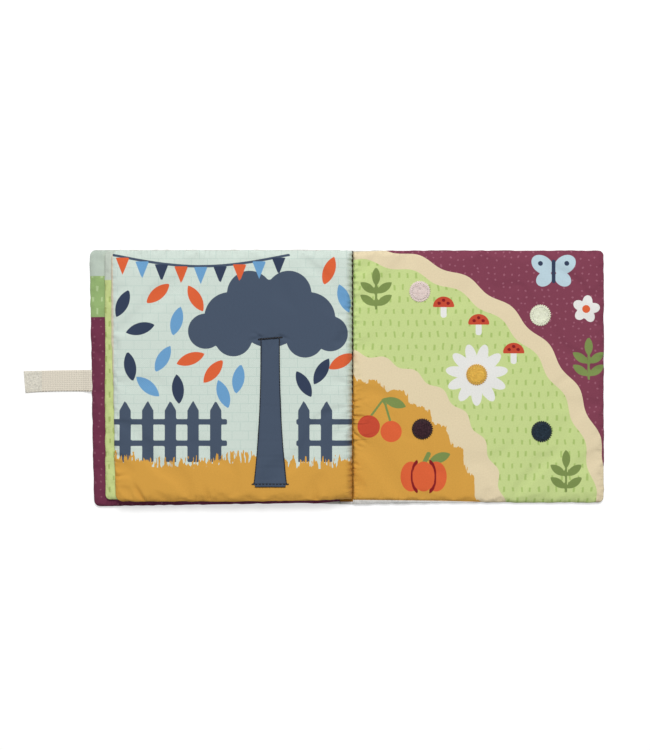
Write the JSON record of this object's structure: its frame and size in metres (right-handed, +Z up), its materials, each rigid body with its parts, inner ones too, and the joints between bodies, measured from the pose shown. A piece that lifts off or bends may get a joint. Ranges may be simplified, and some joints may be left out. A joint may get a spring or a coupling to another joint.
{
  "type": "finger puppet book",
  "caption": "Soft padded cloth book lying open, with a hinged back cover, sewn leaves, a closing strap and round grip dots that hold finger puppets.",
  "frame": {"origin": "on the table, under the middle of the cloth spine", "axes": "+X across the open book from the front cover to the back cover, +Y along the spine to the head of the pages, +Z up"},
  "size_m": [0.4644, 0.205, 0.0172],
  "materials": {
    "front_cloth": "matt printed cotton",
    "outer_cloth": "matt plain cotton",
    "back_cloth": "matt printed cotton",
    "leaf_cloth": "matt printed cotton",
    "strip_cloth": "matt cotton",
    "strap_tape": "natural woven cotton tape",
    "grip_tape": "hook and loop pile",
    "dot_blush": "hook and loop pile",
    "dot_ivory": "hook and loop pile",
    "dot_gold": "hook and loop pile",
    "dot_plum": "hook and loop pile",
    "dot_navy": "hook and loop pile"
  },
  "bodies": {
    "book": {"front_cover": "front_cloth", "spine": "outer_cloth", "pages": "leaf_cloth", "sewn_strip": "strip_cloth", "closing_strap": "strap_tape", "strap_grip_patch": "grip_tape"},
    "back_cover": {"back_cover": "back_cloth", "cover_grip_patch": "grip_tape", "dot_blush": "dot_blush", "dot_ivory": "dot_ivory", "dot_gold": "dot_gold", "dot_plum": "dot_plum", "dot_navy": "dot_navy"}
  },
  "joints": [
    {"name": "back_cover_hinge", "type": "hinge", "parent": "book", "child": "back_cover", "pos_m": [0, 0, 0.012], "axis": [0, -1, 0], "range_deg": [0, 180]}
  ]
}
